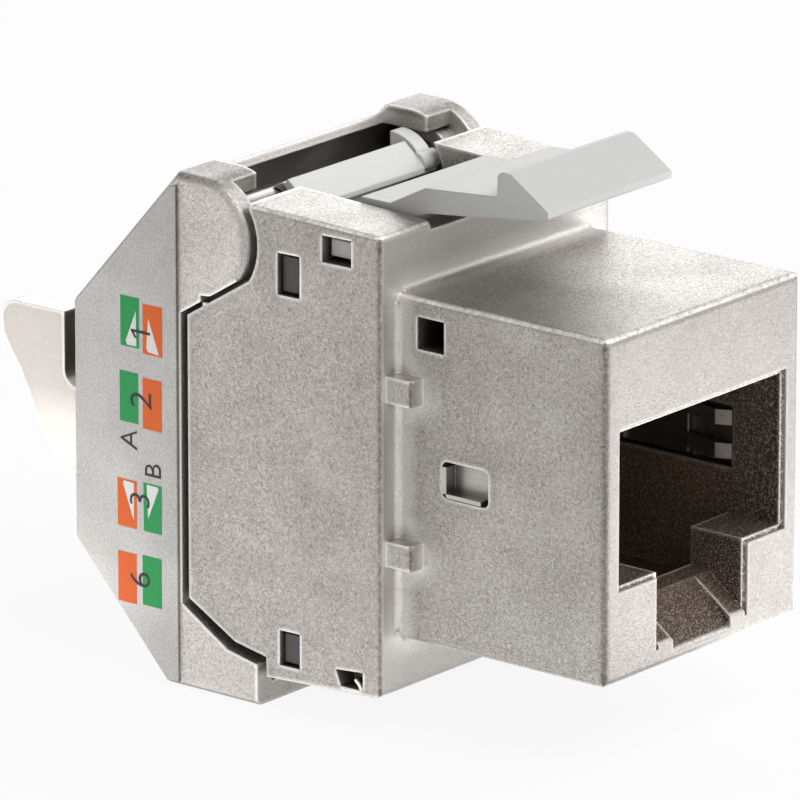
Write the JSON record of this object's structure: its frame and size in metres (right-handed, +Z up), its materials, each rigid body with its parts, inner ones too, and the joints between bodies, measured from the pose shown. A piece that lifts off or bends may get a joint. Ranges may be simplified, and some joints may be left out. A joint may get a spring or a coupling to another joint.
{
  "type": "shielded modular jack",
  "caption": "Shielded modular jack with a die-cast body, a snap-in panel latch, a rear cover that swings open on a pin, and a cable saddle.",
  "frame": {"origin": "centre of the front box's section, on the plane of the flange's front face, where a panel seats", "axes": "+Y runs back from the plug's side to the cable, +X is to the right seen from the plug's side, +Z is up, with the panel latch on top"},
  "size_m": [0.0182, 0.0377, 0.0265],
  "materials": {
    "body_zinc": "die-cast zinc alloy, nickel plated, fine matte grain",
    "cover_zinc": "die-cast zinc alloy, nickel plated, fine matte grain",
    "pin_steel": "ground steel",
    "latch_plastic": "light grey moulded plastic, satin",
    "carrier_plastic": "black moulded plastic",
    "contact_metal": "gold-plated phosphor bronze",
    "board_laminate": "glass-epoxy laminate with solder mask",
    "block_plastic": "dark grey moulded plastic",
    "terminal_metal": "tin-plated phosphor bronze",
    "manager_plastic": "white moulded plastic, smooth",
    "spring_metal": "plated spring sheet",
    "label_film": "silver-grey printed film"
  },
  "bodies": {
    "housing": {"front_housing": "body_zinc", "contact_carrier": "carrier_plastic", "contact_1": "contact_metal", "contact_2": "contact_metal", "contact_3": "contact_metal", "contact_4": "contact_metal", "contact_5": "contact_metal", "contact_6": "contact_metal", "contact_7": "contact_metal", "contact_8": "contact_metal", "circuit_board": "board_laminate", "terminal_block": "block_plastic", "terminal_1": "terminal_metal", "terminal_2": "terminal_metal", "terminal_3": "terminal_metal", "terminal_4": "terminal_metal", "terminal_5": "terminal_metal", "terminal_6": "terminal_metal", "terminal_7": "terminal_metal", "terminal_8": "terminal_metal", "wire_manager": "manager_plastic", "ground_spring_left": "spring_metal", "ground_spring_right": "spring_metal"},
    "cover": {"rear_cover": "cover_zinc", "hinge_pin": "pin_steel", "wiring_label_left": "label_film", "wiring_label_right": "label_film"},
    "latch": {"panel_latch": "latch_plastic"}
  },
  "joints": [
    {"name": "cover_hinge", "type": "hinge", "parent": "housing", "child": "cover", "pos_m": [0, 0.0102, 0.00945], "axis": [1, 0, 0], "range_deg": [0, 90]},
    {"name": "latch_flex", "type": "hinge", "parent": "housing", "child": "latch", "pos_m": [0, 0.0025, 0.01005], "axis": [1, 0, 0], "range_deg": [0, 9], "stiffness_Nm_per_rad": 0.05, "springref_deg": -1.15}
  ]
}
